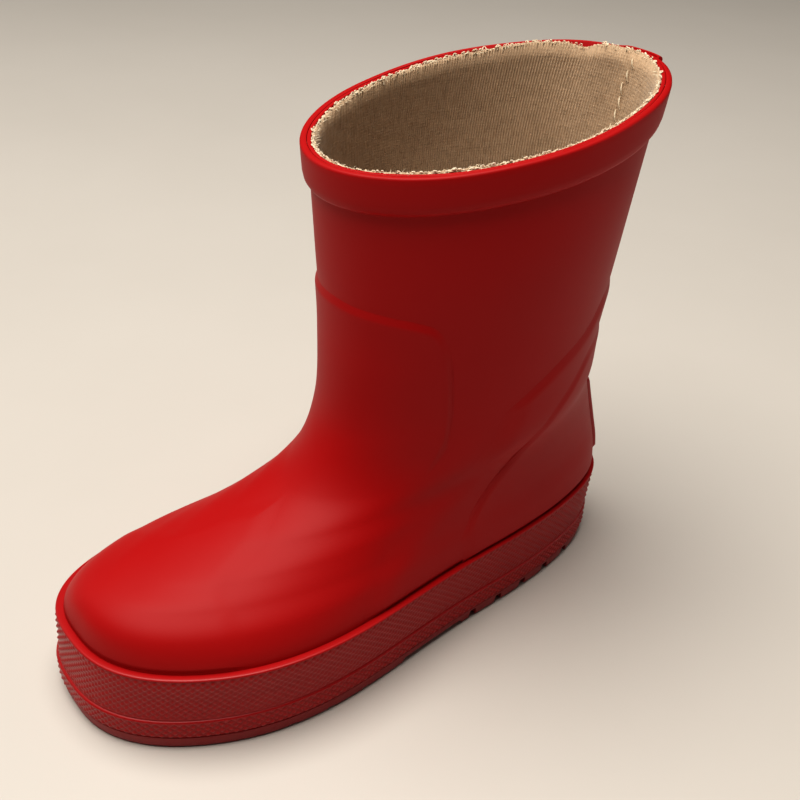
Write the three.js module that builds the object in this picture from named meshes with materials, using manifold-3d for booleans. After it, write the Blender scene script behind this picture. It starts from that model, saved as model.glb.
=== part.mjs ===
// A child's pull-on rubber rain boot, left foot, in hand-laid natural rubber.
// Millimetres, +Z up, toe towards -Y, outer side of the foot towards +X.
// Every layer is an offset of one leg-and-foot surface, so the layers stay nested when a size changes.
import * as THREE from 'three';
import { mergeVertices } from 'three/addons/utils/BufferGeometryUtils.js';
import Module from 'manifold-3d';

// Driving dimensions
const SOLE_LENGTH = 174.6;        // outline of the leg-and-foot surface, heel to toe
const BALL_WIDTH = 76;           // the same outline across the ball of the foot
const HEEL_WIDTH = 54;           // and across the heel
const TOE_SWING = 10.3;          // how far the toe leans to the inner side
const ANKLE_DEPTH = 91;          // leg, front to back, at its narrowest
const ANKLE_WIDTH = 66.9;        // leg, side to side, at its narrowest
const TOP_DEPTH = 106;           // leg opening, front to back
const TOP_WIDTH = 71.8;          // leg opening, side to side
const INSTEP_HEIGHT = 68.6;      // where the foot turns into the leg, at the front
const TOP_HEIGHT_FRONT = 146;    // top edge at the shin
const TOP_HEIGHT_BACK = 157;     // top edge at the calf
const ANKLE_INSET = 8.7;         // back of the ankle, forward of the back of the heel
const TOP_OVERHANG = 6.2;        // back of the top edge, behind the back of the heel
const FOXING_HEIGHT = 25.5;      // top edge of the textured side band
const COLLAR_HEIGHT = 11.7;

// Thicknesses and clearances
const GAP = 0.3;                 // between pieces that touch
const RUBBER = 1.6;              // leg-and-foot rubber
const LINING = 1.2;
const FOXING = 2.0;
const PLY = 0.6;                 // one reinforcement ply
const PLY_GAP = 0.4;             // under a ply, whose edges cut across the facets
const COUNTER_GAP = 0.95;        // under the inner counter, which lies on another ply
const COLLAR = 1.5;
const LAP = 1.3;                 // extra where the collar's ends overlap
const LABEL = 1;
const TREAD_DEPTH = 3.2;
const EDGE_HEIGHT = 4.2;         // plain outsole edge below the side bands
const OUTSOLE_TOP = 8;
const BAND_JOINT = 10.3;         // height where the two side bands meet
const MARGIN = 12;               // upper and lining turned in under the foot
const BOARD = 2;
const CLOTH = 0.6;
const FOOTBED = 4;
const COVER = 0.8;
const FOOT_CLEARANCE = 1.0;      // round the insole, inside the lining
const FOOTBED_EASE = 1.2;        // how much smaller the loose footbed is all round
const HEEL_LIFT = 5;
const LIFT_START = -15;          // where the insole starts to rise to the heel
const LIFT_LENGTH = 55;
const WEDGE_EDGE = 1.1;          // thickness where the heel wedge starts

// Tread
const GROOVE = 3.4;
const HEEL_TREAD = 65;           // from the back of the heel to its foremost groove
const HEEL_PITCH = 11;
const SOLE_PITCH = 12;
const SOLE_BORDER = 14;          // plain rubber beside the forefoot grooves
const WAIST = 32;                // raised stretch between the heel and the forefoot
const WAIST_RISE = 1.9;

// Lining seam
const STITCHES = 16;
const STITCH_SIDE = 0.045;       // half a stitch's width, as an angle round the leg
const THREAD_RADIUS = 0.4;

// Facets
const AROUND = 36;               // round the boot
const ROWS = 14;                 // up the leg and foot
const PLATE_SECTIONS = 26;       // along a plate under the foot
const PLATE_END = 0.2;           // angle that a plate stops short of the toe and heel

const TOE_Y = -SOLE_LENGTH / 2;
const HEEL_Y = SOLE_LENGTH / 2;
const ANKLE_FRONT_Y = HEEL_Y - ANKLE_INSET - ANKLE_DEPTH;
const TOP_BACK_Y = HEEL_Y + TOP_OVERHANG;
const TOP_FRONT_Y = TOP_BACK_Y - TOP_DEPTH;
const LOWER_Z = OUTSOLE_TOP + GAP;

const mix = (a, b, t) => a + (b - a) * t;
const clamp01 = (t) => Math.min(1, Math.max(0, t));
const ease = (t) => 0.5 - 0.5 * Math.cos(Math.PI * clamp01(t));
const signedPower = (v, p) => Math.sign(v) * Math.abs(v) ** p;

// ---- the leg-and-foot surface, as level rings from the sole edge (0) to the top edge (LAST)

const vampY = (t) => mix(TOE_Y, ANKLE_FRONT_Y, t);
const vampZ = (t) => mix(FOXING_HEIGHT, INSTEP_HEIGHT, t);
const shinZ = (t) => mix(INSTEP_HEIGHT, TOP_HEIGHT_FRONT, t);
const calfZ = (t) => mix(FOXING_HEIGHT, TOP_HEIGHT_BACK, t);
const heelY = (t) => mix(HEEL_Y, HEEL_Y - ANKLE_INSET, t);
const legHalf = (t) => mix(ANKLE_WIDTH, TOP_WIDTH, t) / 2;
const ball = BALL_WIDTH / 2;
const heel = HEEL_WIDTH / 2;
const LOW = [LOWER_Z, (LOWER_Z + FOXING_HEIGHT) / 2];

const TUCK = 1.7;                // how far the surface draws in down to the outsole
const TOE_FLARE = 1.5;           // how far it swings out instead, at the toe
const NARROW_START = 0.14;       // share of the length where the ball begins to narrow
const NARROW_END = 0.66;
const SWING_END = 0.6;           // share of the length where the toe starts to lean inwards
const SWING_LEVELS = 5;          // levels over which the lean fades out, up the foot

// front y, front z, back y, back z, half width at the ball and heel, roundness, front narrowing
const STATIONS = [
  [TOE_Y - TOE_FLARE, LOW[0], HEEL_Y - TUCK, LOW[0], ball - TUCK, heel - TUCK, 0.75, 0],
  [TOE_Y - TOE_FLARE / 2, LOW[1], HEEL_Y - TUCK / 2, LOW[1], ball - TUCK / 2, heel - TUCK / 2, 0.75, 0],
  [TOE_Y, FOXING_HEIGHT, HEEL_Y, FOXING_HEIGHT, ball, heel, 0.76, 0],
  [vampY(0.032), vampZ(0.182), heelY(-0.03), calfZ(0.06), ball - 1.9, heel + 0.6, 0.82, 0.08],
  [vampY(0.11), vampZ(0.275), heelY(0.12), calfZ(0.13), ball - 3.5, heel + 1.3, 0.92, 0.24],
  [vampY(0.276), vampZ(0.341), heelY(0.44), calfZ(0.21), ball - 4.5, heel + 2.3, 0.97, 0.35],
  [vampY(0.56), vampZ(0.461), heelY(0.8), calfZ(0.29), ball - 5, heel + 3.6, 0.99, 0.38],
  [vampY(0.837), vampZ(0.652), heelY(0.985), calfZ(0.375), legHalf(0.26), legHalf(0), 1, 0.3],
  [ANKLE_FRONT_Y, INSTEP_HEIGHT, heelY(1), calfZ(0.475), legHalf(0), legHalf(0), 1, 0.15],
  [mix(ANKLE_FRONT_Y, TOP_FRONT_Y, 0.2) + 3, shinZ(0.305),
    mix(heelY(1), TOP_BACK_Y, 0.284), calfZ(0.625), legHalf(0.18), legHalf(0.18), 1, 0.02],
  [mix(ANKLE_FRONT_Y, TOP_FRONT_Y, 0.5) + 2.2, shinZ(0.637),
    mix(heelY(1), TOP_BACK_Y, 0.532), calfZ(0.8), legHalf(1), legHalf(1), 1, 0],
  [TOP_FRONT_Y, TOP_HEIGHT_FRONT, TOP_BACK_Y, TOP_HEIGHT_BACK, legHalf(1), legHalf(1), 1, 0],
];
const LAST = STATIONS.length - 1;
const FOXING_LEVEL = 2;
const COLLAR_LEVEL = LAST - COLLAR_HEIGHT / (TOP_HEIGHT_FRONT - shinZ(0.637));

// smooth curve through the stations, read between two of them
function stationAt(level) {
  const i = Math.min(LAST - 1, Math.floor(level));
  const t = level - i;
  const at = (k) => STATIONS[Math.min(LAST, Math.max(0, k))];
  return STATIONS[0].map((_, k) => {
    const [a, b, c, d] = [at(i - 1)[k], at(i)[k], at(i + 1)[k], at(i + 2)[k]];
    const bend = (2 * a - 5 * b + 4 * c - d) * t ** 2 + (3 * b - a - 3 * c + d) * t ** 3;
    return b + ((c - a) * t + bend) / 2;
  });
}

// angle 0 is the toe, PI the heel, and angles up to PI lie on the outer side
function surfacePoint(level, angle) {
  const [frontY, frontZ, backY, backZ, ballHalf, heelHalf, round, narrow] = stationAt(level);
  const c = Math.cos(angle);
  const s = Math.sin(angle);
  const y = (frontY + backY) / 2 - ((backY - frontY) / 2) * signedPower(c, round);
  const along = (y - TOE_Y) / SOLE_LENGTH;
  const taper = ease((along - NARROW_START) / (NARROW_END - NARROW_START));
  const half = mix(ballHalf, heelHalf, taper) * (1 - narrow * ((1 + c) / 2) ** 1.6);
  const fade = clamp01(1 - (level - FOXING_LEVEL) / SWING_LEVELS);
  const swing = TOE_SWING * clamp01(1 - along / SWING_END) ** 2 * fade;
  const x = half * signedPower(s, round) - swing;
  return new THREE.Vector3(x, y, mix(frontZ, backZ, (y - frontY) / (backY - frontY)));
}

const range = (from, to, count) => Array.from({ length: count }, (_, k) => mix(from, to, k / (count - 1)));
const WALL_LEVELS = range(FOXING_LEVEL, LAST, ROWS + 1);

// a point at a depth under the surface; a negative depth stands proud of it
function layerPoint(level, angle, depth) {
  const e = 0.02;
  const up = surfacePoint(Math.min(LAST, level + e), angle).sub(surfacePoint(Math.max(0, level - e), angle));
  const round = surfacePoint(level, angle + e).sub(surfacePoint(level, angle - e));
  return surfacePoint(level, angle).addScaledVector(up.cross(round).normalize(), depth);
}

// the same, on the flat facets between the wall's rows
function facetPoint(level, angle, depth) {
  const row = ((level - FOXING_LEVEL) / (LAST - FOXING_LEVEL)) * ROWS;
  const low = Math.min(ROWS - 1, Math.floor(row));
  const upper = layerPoint(WALL_LEVELS[low + 1], angle, depth);
  return layerPoint(WALL_LEVELS[low], angle, depth).lerp(upper, row - low);
}

const aroundAngles = Array.from({ length: AROUND }, (_, k) => (k * 2 * Math.PI) / AROUND);
const layerRing = (level, depth) => aroundAngles.map((a) => layerPoint(level, a, depth));
const levelRing = (level, depth, z) => layerRing(level, depth).map((p) => new THREE.Vector3(p.x, p.y, z));
const flatRing = (depth, z) => levelRing(0, depth, z);

// ---- solids from rings

// indexed triangles to a geometry, turned so that its faces point out
function solid(points, triangles) {
  let volume = 0;
  for (const [a, b, c] of triangles) {
    volume += points[a].dot(new THREE.Vector3().crossVectors(points[b], points[c]));
  }
  const index = triangles.flatMap(([a, b, c]) => (volume > 0 ? [a, b, c] : [a, c, b]));
  const geometry = new THREE.BufferGeometry().setFromPoints(points);
  geometry.setIndex(index);
  geometry.computeVertexNormals();
  return geometry;
}

// a wall all round the boot: a closed loop of rings
function hoop(rings) {
  const points = rings.flat();
  const n = rings[0].length;
  const triangles = [];
  rings.forEach((_, r) => {
    const low = r * n;
    const high = ((r + 1) % rings.length) * n;
    const rising = points[high].z >= points[low].z;
    for (let k = 0; k < n; k += 1) {
      const next = (k + 1) % n;
      const [a, b, c, d] = [low + k, low + next, high + next, high + k];
      // the same diagonal on both faces of a wall, so that nested walls keep their gap
      if (rising) triangles.push([a, b, c], [a, c, d]);
      else triangles.push([a, b, d], [b, c, d]);
    }
  });
  return solid(points, triangles);
}

// a bar of closed sections, capped at both ends with a fan
function loft(sections) {
  const points = sections.flat();
  const n = sections[0].length;
  const triangles = [];
  for (let r = 0; r + 1 < sections.length; r += 1) {
    for (let k = 0; k < n; k += 1) {
      const next = (k + 1) % n;
      const [a, b, c, d] = [r * n + k, r * n + next, (r + 1) * n + next, (r + 1) * n + k];
      triangles.push([a, b, c], [a, c, d]);
    }
  }
  const end = (sections.length - 1) * n;
  for (let k = 1; k + 1 < n; k += 1) {
    triangles.push([0, k + 1, k], [end, end + k, end + k + 1]);
  }
  return solid(points, triangles);
}

// a ply laid on the surface between two edges, each a level for every angle
function ply(fromStep, toStep, lowEdge, highEdge, outer, inner) {
  const sections = [];
  for (let k = fromStep; k <= toStep; k += 1) {
    const a = (k * 2 * Math.PI) / AROUND;
    const levels = WALL_LEVELS.map((l) => Math.min(highEdge(a), Math.max(lowEdge(a), l)));
    sections.push([
      ...levels.map((l) => facetPoint(l, a, outer)),
      ...levels.map((l) => facetPoint(l, a, inner)).reverse(),
    ]);
  }
  const n = sections[0].length;
  const points = sections.flat();
  const triangles = [];
  const quad = (a, b, c, d) => triangles.push([a, b, c], [a, c, d]);
  for (let r = 0; r + 1 < sections.length; r += 1) {
    for (let k = 0; k < n; k += 1) {
      const next = (k + 1) % n;
      const [a, b, c, d] = [r * n + k, r * n + next, (r + 1) * n + next, (r + 1) * n + k];
      if (k < n / 2) quad(a, b, c, d);
      else quad(b, c, d, a);
    }
  }
  for (const [o, turned] of [[0, false], [(sections.length - 1) * n, true]]) {
    for (let k = 0; k + 1 < n / 2; k += 1) {
      const [a, b, c, d] = [o + k, o + n - 1 - k, o + n - 2 - k, o + k + 1];
      if (turned) quad(a, d, c, b);
      else quad(a, b, c, d);
    }
  }
  return welded(solid(points, triangles));
}

// one vertex where several meet, without the triangles that have shrunk to a line
function welded(geometry) {
  geometry.deleteAttribute('normal');
  const merged = mergeVertices(geometry, 1e-4);
  const kept = [];
  for (let k = 0; k < merged.index.count; k += 3) {
    const [a, b, c] = [0, 1, 2].map((n) => merged.index.getX(k + n));
    if (a !== b && b !== c && c !== a) kept.push(a, b, c);
  }
  merged.setIndex(kept);
  merged.computeVertexNormals();
  return merged;
}

// a plate inside the boot, cut to the surface's lowest ring less an inset
function plate(inset, bottom, top, fromY = -Infinity, toY = Infinity) {
  const sections = [];
  for (const a of range(PLATE_END, Math.PI - PLATE_END, PLATE_SECTIONS)) {
    const right = layerPoint(0, a, inset);
    const left = layerPoint(0, -a, inset);
    if (right.y > fromY && right.y < toY) {
      const z0 = bottom(right.y);
      const z1 = top(right.y);
      const at = (p, z) => new THREE.Vector3(p.x, p.y, z);
      sections.push([at(left, z0), at(right, z0), at(right, z1), at(left, z1)]);
    }
  }
  return loft(sections);
}

// ---- the sub-parts

const bandOut = -(GAP + FOXING);
const levelAtZ = (z) => (2 * (z - LOW[0])) / (FOXING_HEIGHT - LOW[0]);

function upperRubber() {
  const levels = [0, 1, ...WALL_LEVELS];
  const outside = levels.map((l) => layerRing(l, 0));
  const inside = levels.slice(1).map((l) => layerRing(l, RUBBER)).reverse();
  return hoop([
    flatRing(MARGIN, LOWER_Z), ...outside, ...inside,
    flatRing(RUBBER, LOWER_Z + RUBBER), flatRing(MARGIN, LOWER_Z + RUBBER),
  ]);
}

const liningOut = RUBBER + GAP;
const liningIn = liningOut + LINING;
const LINING_Z = LOWER_Z + RUBBER + GAP;

function liningSock() {
  const levels = [1, ...WALL_LEVELS.slice(0, -1), LAST - 0.04];
  const outside = levels.map((l) => layerRing(l, liningOut));
  const inside = levels.map((l) => layerRing(l, liningIn)).reverse();
  return hoop([
    flatRing(MARGIN, LINING_Z), flatRing(liningOut, LINING_Z), ...outside, ...inside,
    flatRing(liningIn, LINING_Z + LINING), flatRing(MARGIN, LINING_Z + LINING),
  ]);
}

// the overlock stitches that close the lining down the back
function liningSeamThread() {
  const points = range(LAST - 0.15, FOXING_LEVEL + 4, STITCHES * 2 + 1).map((level, k) => {
    const side = k % 2 ? STITCH_SIDE : -STITCH_SIDE;
    return layerPoint(level, Math.PI + side, liningIn + GAP + THREAD_RADIUS + 0.1);
  });
  const section = new THREE.Shape();
  section.absarc(0, 0, THREAD_RADIUS, 0, 2 * Math.PI);
  const path = new THREE.CatmullRomCurve3(points, false, 'catmullrom', 0.1);
  return new THREE.ExtrudeGeometry(section, {
    extrudePath: path, steps: points.length, curveSegments: 3, bevelEnabled: false,
  });
}

// the textured band round the foot of the upper
function upperBand() {
  const heights = range(BAND_JOINT + GAP / 2, FOXING_HEIGHT, 3);
  return hoop([
    ...heights.map((z) => levelRing(levelAtZ(z), bandOut, z)),
    ...heights.map((z) => levelRing(levelAtZ(z), -GAP, z)).reverse(),
  ]);
}

// the outsole's edge carries the lower band, so the band wraps the outsole below the upper
function lowerBand() {
  const out = (z) => flatRing(bandOut, z);
  return hoop([
    out(EDGE_HEIGHT + GAP), out(BAND_JOINT - GAP / 2),
    flatRing(-GAP, BAND_JOINT - GAP / 2), flatRing(-GAP, EDGE_HEIGHT + GAP),
  ]);
}

function collarBand() {
  const levels = range(COLLAR_LEVEL, LAST, 3);
  const lapAt = Math.PI;
  const proud = (a) => GAP + COLLAR + (Math.abs(a - lapAt) < 0.2 ? LAP : 0);
  const wall = (proudAt) => levels.map((l) => aroundAngles.map((a) => facetPoint(l, a, -proudAt(a))));
  return hoop([...wall(proud), ...wall(() => GAP).reverse()]);
}

// a ply's edge through [degrees from the toe or the heel, level], straight between points
const edgeThrough = (middle, ...corners) => (angle) => {
  const off = Math.abs(THREE.MathUtils.radToDeg(angle - middle));
  const k = Math.max(1, corners.findIndex(([d]) => d >= off - 1e-6));
  const [[d0, l0], [d1, l1]] = [corners[k - 1], corners[k]];
  return mix(l0, l1, clamp01((off - d0) / (d1 - d0)));
};
const flatEdge = (level) => () => level;
const PLY_FOOT = flatEdge(FOXING_LEVEL + 0.12);
const TOE = 0;
const BACK = Math.PI;
const BACK_STEP = AROUND / 2;
const PLY_OUT = PLY_GAP + PLY;

const heelCounterOuter = () => ply(BACK_STEP - 10, BACK_STEP + 10, PLY_FOOT,
  edgeThrough(BACK, [0, 8.8], [48, 8.6], [70, 8.4], [90, 8.1], [99, 7.6]), -PLY_OUT, -PLY_GAP);

const heelCounterInner = () => ply(BACK_STEP - 8, BACK_STEP + 8, PLY_FOOT,
  edgeThrough(BACK, [0, 8.1], [53, 7.8], [70, 6.6], [80, 5.1]),
  -PLY_OUT - COUNTER_GAP - PLY, -PLY_OUT - COUNTER_GAP);

const instepReinforcement = () => ply(-6, 6, flatEdge(7.2),
  edgeThrough(TOE, [0, 9.6], [36, 9.6], [52, 9.1], [59, 8.2], [63, 7.7]), -PLY_OUT, -PLY_GAP);

const toeReinforcement = () => ply(-5, 5, PLY_FOOT,
  edgeThrough(TOE, [0, 6.9], [30, 5.9], [54, 3.3]), -PLY_OUT, -PLY_GAP);

const backStay = () => ply(BACK_STEP - 1, BACK_STEP + 1, flatEdge(8.9),
  flatEdge(COLLAR_LEVEL - 0.03), -PLY_OUT, -PLY_GAP);

const LABEL_FOOT = flatEdge(FOXING_LEVEL + 0.5);
const LABEL_HEAD = flatEdge(5.4);

function heelLabel() {
  const under = PLY_OUT + COUNTER_GAP + PLY + PLY_GAP;
  return ply(BACK_STEP - 2, BACK_STEP + 2, LABEL_FOOT, LABEL_HEAD, -(under + LABEL), -under);
}

// ---- under the foot

const lift = (y) => HEEL_LIFT * ease((y - LIFT_START) / LIFT_LENGTH);
const FLOOR_Z = LINING_Z + LINING + GAP;
const inside = liningIn + FOOT_CLEARANCE;
const above = (z) => (y) => z + lift(y);

function forefootFiller() {
  return plate(MARGIN + 0.6, () => LOWER_Z, () => FLOOR_Z - GAP);
}

function heelWedge() {
  const startY = LIFT_START + (LIFT_LENGTH / Math.PI) * Math.acos(1 - (2 * WEDGE_EDGE) / HEEL_LIFT);
  return plate(inside, () => FLOOR_Z, (y) => FLOOR_Z + lift(y) - GAP, startY);
}

const BOARD_Z = FLOOR_Z;
const CLOTH_Z = BOARD_Z + BOARD + GAP;
const FOOTBED_Z = CLOTH_Z + CLOTH + GAP;
const COVER_Z = FOOTBED_Z + FOOTBED + GAP;

const insoleBoard = () => plate(inside, above(BOARD_Z), above(BOARD_Z + BOARD));
const insoleCloth = () => plate(inside, above(CLOTH_Z), above(CLOTH_Z + CLOTH));
const footbedFoam = () => plate(inside + FOOTBED_EASE, above(FOOTBED_Z), above(FOOTBED_Z + FOOTBED));
const footbedCover = () => plate(inside + FOOTBED_EASE, above(COVER_Z), above(COVER_Z + COVER));

// ---- outsole: two steps of the outline, with the tread cut into its underside

const wasm = await Module();
wasm.setup();

function toManifold(geometry) {
  const bare = geometry.clone();
  bare.deleteAttribute('normal');
  bare.deleteAttribute('uv');
  const merged = mergeVertices(bare, 1e-4);
  return new wasm.Manifold(new wasm.Mesh({
    numProp: 3,
    vertProperties: new Float32Array(merged.attributes.position.array),
    triVerts: new Uint32Array(merged.index.array),
  }));
}

function fromManifold(shape) {
  const mesh = shape.getMesh();
  const geometry = new THREE.BufferGeometry();
  geometry.setAttribute('position', new THREE.BufferAttribute(mesh.vertProperties.slice(), 3));
  geometry.setIndex(Array.from(mesh.triVerts));
  geometry.computeVertexNormals();
  return geometry;
}

function groove(width, length, depth, x, y) {
  const box = new THREE.BoxGeometry(length, width, depth * 2);
  box.translate(x, y, 0);
  return toManifold(box);
}

function outsole() {
  const step = [
    flatRing(bandOut, 0), flatRing(bandOut, EDGE_HEIGHT), flatRing(0, EDGE_HEIGHT), flatRing(0, OUTSOLE_TOP),
  ];
  let shape = toManifold(loft(step));
  const cut = (...sizes) => {
    shape = shape.subtract(groove(...sizes));
  };
  const across = BALL_WIDTH * 2;
  const heelFront = HEEL_Y - HEEL_TREAD;
  for (let y = heelFront; y < HEEL_Y - HEEL_PITCH; y += HEEL_PITCH) {
    cut(GROOVE, across, TREAD_DEPTH, 0, y);
  }
  cut(WAIST, across, WAIST_RISE, 0, heelFront - WAIST / 2);
  for (let y = heelFront - WAIST - SOLE_PITCH; y > TOE_Y + SOLE_PITCH; y -= SOLE_PITCH) {
    const x = -TOE_SWING * clamp01((heelFront - WAIST - y) / SOLE_LENGTH);
    cut(GROOVE, BALL_WIDTH - 2 * SOLE_BORDER, TREAD_DEPTH, x, y);
  }
  return fromManifold(shape);
}

// ---- assembly

const RED = 0xa01414;
const DARK_RED = 0x801012;
const finish = (color, roughness) => new THREE.MeshStandardMaterial({ color, roughness, metalness: 0 });
const pieces = {
  outsole: [outsole, finish(DARK_RED, 0.6)],
  foxing_lower_band: [lowerBand, finish(DARK_RED, 0.6)],
  foxing_upper_band: [upperBand, finish(DARK_RED, 0.6)],
  forefoot_filler: [forefootFiller, finish(0x3a3632, 0.9)],
  heel_wedge: [heelWedge, finish(0x4a4642, 0.9)],
  insole_board: [insoleBoard, finish(0xb59a72, 0.9)],
  insole_cloth: [insoleCloth, finish(0xc8b08a, 0.95)],
  upper_rubber: [upperRubber, finish(RED, 0.45)],
  toe_reinforcement: [toeReinforcement, finish(RED, 0.45)],
  instep_reinforcement: [instepReinforcement, finish(RED, 0.45)],
  heel_counter_outer: [heelCounterOuter, finish(RED, 0.45)],
  heel_counter_inner: [heelCounterInner, finish(RED, 0.45)],
  back_stay: [backStay, finish(RED, 0.45)],
  collar_band: [collarBand, finish(RED, 0.45)],
  heel_label: [heelLabel, finish(DARK_RED, 0.5)],
  lining_sock: [liningSock, finish(0x9c7c56, 0.95)],
  lining_seam_thread: [liningSeamThread, finish(0xe0caa0, 0.9)],
  footbed_foam: [footbedFoam, finish(0xd8cdb8, 0.9)],
  footbed_cover: [footbedCover, finish(0xb89a6c, 0.95)],
};

const boot = new THREE.Group();
for (const [name, [make, material]] of Object.entries(pieces)) {
  const mesh = new THREE.Mesh(make(), material);
  mesh.name = name;
  boot.add(mesh);
}

// the origin is on the ground, under the middle of the boot's box
const box = new THREE.Box3().setFromObject(boot);
const centre = box.getCenter(new THREE.Vector3());
boot.position.set(-centre.x, -centre.y, -box.min.z);
boot.updateMatrixWorld(true);

export default boot;
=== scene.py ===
"""A child's pull-on rubber rain boot, left foot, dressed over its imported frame.

Lengths in the making functions are millimetres; pieces are put into the scene in metres.
Toe towards -Y, outer side of the foot towards +X, +Z up.
"""
import math

import bmesh
import bpy
import numpy as np
from mathutils import Matrix, Vector


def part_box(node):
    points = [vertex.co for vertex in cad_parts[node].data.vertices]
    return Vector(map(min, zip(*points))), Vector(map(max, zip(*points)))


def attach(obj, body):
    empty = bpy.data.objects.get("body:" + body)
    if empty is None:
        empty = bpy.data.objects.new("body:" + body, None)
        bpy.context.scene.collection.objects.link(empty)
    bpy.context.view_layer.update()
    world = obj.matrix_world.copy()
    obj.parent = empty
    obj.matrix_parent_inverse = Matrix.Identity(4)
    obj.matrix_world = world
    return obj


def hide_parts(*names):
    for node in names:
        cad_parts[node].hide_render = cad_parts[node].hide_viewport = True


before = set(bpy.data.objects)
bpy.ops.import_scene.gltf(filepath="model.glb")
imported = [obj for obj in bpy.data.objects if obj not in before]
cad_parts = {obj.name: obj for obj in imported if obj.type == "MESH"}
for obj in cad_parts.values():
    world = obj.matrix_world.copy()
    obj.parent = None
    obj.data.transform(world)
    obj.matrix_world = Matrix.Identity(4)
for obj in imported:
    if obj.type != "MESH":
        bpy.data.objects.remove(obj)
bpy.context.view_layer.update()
MM = 0.001

# ---- the leg-and-foot surface, with the part's own driving sizes
# Most of these sizes, and most of the stations' shares, came from a fitting program and were rounded.

SOLE_LENGTH = 174.6
BALL_WIDTH = 76.0
HEEL_WIDTH = 54.0
TOE_SWING = 10.3
ANKLE_DEPTH = 91.0
ANKLE_WIDTH = 66.9
TOP_DEPTH = 106.0
TOP_WIDTH = 71.8
INSTEP_HEIGHT = 68.6
TOP_HEIGHT_FRONT = 146.0
TOP_HEIGHT_BACK = 157.0
ANKLE_INSET = 8.7
TOP_OVERHANG = 6.2
TUCK = 1.7
TOE_FLARE = 1.5
GAP = 0.3
RUBBER = 1.6
LINING = 1.2
FOXING = 2.0
NARROW_START, NARROW_END = 0.14, 0.66
SWING_END, SWING_LEVELS = 0.6, 5.0


def box_mm(node):
    """A CAD node's lowest and highest corners, in millimetres."""
    low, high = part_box(node)
    return np.array(low) / MM, np.array(high) / MM


COLLAR_BOX = box_mm("collar_band")
UPPER_BAND_BOX = box_mm("foxing_upper_band")
LOWER_BAND_BOX = box_mm("foxing_lower_band")
OUTSOLE_BOX = box_mm("outsole")
FOXING_TOP = UPPER_BAND_BOX[1][2]
OUTSOLE_TOP = OUTSOLE_BOX[1][2]
SKIN_FOOT = OUTSOLE_TOP + GAP
# the surface is drawn about its own middle, and the frame's origin is under the middle of the boot
ORIGIN_X = (COLLAR_BOX[0][0] + COLLAR_BOX[1][0]) / 2
ORIGIN_Y = (UPPER_BAND_BOX[0][1] + UPPER_BAND_BOX[1][1]) / 2

TOE_Y = -SOLE_LENGTH / 2
HEEL_Y = SOLE_LENGTH / 2
ANKLE_FRONT_Y = HEEL_Y - ANKLE_INSET - ANKLE_DEPTH
TOP_BACK_Y = HEEL_Y + TOP_OVERHANG
TOP_FRONT_Y = TOP_BACK_Y - TOP_DEPTH


def mix(a, b, t):
    return a + (b - a) * t


def clamp01(t):
    return np.clip(t, 0.0, 1.0)


def ease(t):
    return 0.5 - 0.5 * np.cos(np.pi * clamp01(t))


def signed_power(v, p):
    return np.sign(v) * np.abs(v) ** p


def vamp_y(t):
    return mix(TOE_Y, ANKLE_FRONT_Y, t)


def vamp_z(t):
    return mix(FOXING_TOP, INSTEP_HEIGHT, t)


def shin_z(t):
    return mix(INSTEP_HEIGHT, TOP_HEIGHT_FRONT, t)


def calf_z(t):
    return mix(FOXING_TOP, TOP_HEIGHT_BACK, t)


def heel_y(t):
    return mix(HEEL_Y, HEEL_Y - ANKLE_INSET, t)


def leg_half(t):
    return mix(ANKLE_WIDTH, TOP_WIDTH, t) / 2


def make_stations():
    """Front y and z, back y and z, half width at ball and heel, roundness, front narrowing, per level.

    Most shares and offsets were solved for by a fitting program and rounded; a few were then set one by one.
    """
    ball, heel = BALL_WIDTH / 2, HEEL_WIDTH / 2
    ankle = heel_y(1)
    middle_z = (SKIN_FOOT + FOXING_TOP) / 2
    rows = []
    for z, share, roundness in ((SKIN_FOOT, 1, 0.75), (middle_z, 0.5, 0.75), (FOXING_TOP, 0, 0.76)):
        tuck = TUCK * share
        rows.append((TOE_Y - TOE_FLARE * share, z, HEEL_Y - tuck, z, ball - tuck, heel - tuck, roundness, 0))
    rows += [
        (vamp_y(0.032), vamp_z(0.182), heel_y(-0.03), calf_z(0.06), ball - 1.9, heel + 0.6, 0.82, 0.08),
        (vamp_y(0.11), vamp_z(0.275), heel_y(0.12), calf_z(0.13), ball - 3.5, heel + 1.3, 0.92, 0.24),
        (vamp_y(0.276), vamp_z(0.341), heel_y(0.44), calf_z(0.21), ball - 4.5, heel + 2.3, 0.97, 0.35),
        (vamp_y(0.56), vamp_z(0.461), heel_y(0.8), calf_z(0.29), ball - 5, heel + 3.6, 0.99, 0.38),
        (vamp_y(0.837), vamp_z(0.652), heel_y(0.985), calf_z(0.375), leg_half(0.26), leg_half(0), 1, 0.3),
        (ANKLE_FRONT_Y, INSTEP_HEIGHT, ankle, calf_z(0.475), leg_half(0), leg_half(0), 1, 0.15),
        (mix(ANKLE_FRONT_Y, TOP_FRONT_Y, 0.2) + 3, shin_z(0.305),
         mix(ankle, TOP_BACK_Y, 0.284), calf_z(0.625), leg_half(0.18), leg_half(0.18), 1, 0.02),
        (mix(ANKLE_FRONT_Y, TOP_FRONT_Y, 0.5) + 2.2, shin_z(0.637),
         mix(ankle, TOP_BACK_Y, 0.532), calf_z(0.8), leg_half(1), leg_half(1), 1, 0),
        (TOP_FRONT_Y, TOP_HEIGHT_FRONT, TOP_BACK_Y, TOP_HEIGHT_BACK, leg_half(1), leg_half(1), 1, 0),
    ]
    return np.array(rows, float)


STATIONS = make_stations()
LAST = len(STATIONS) - 1
FOXING_LEVEL = 2
TOE, BACK = 0.0, math.pi


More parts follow.
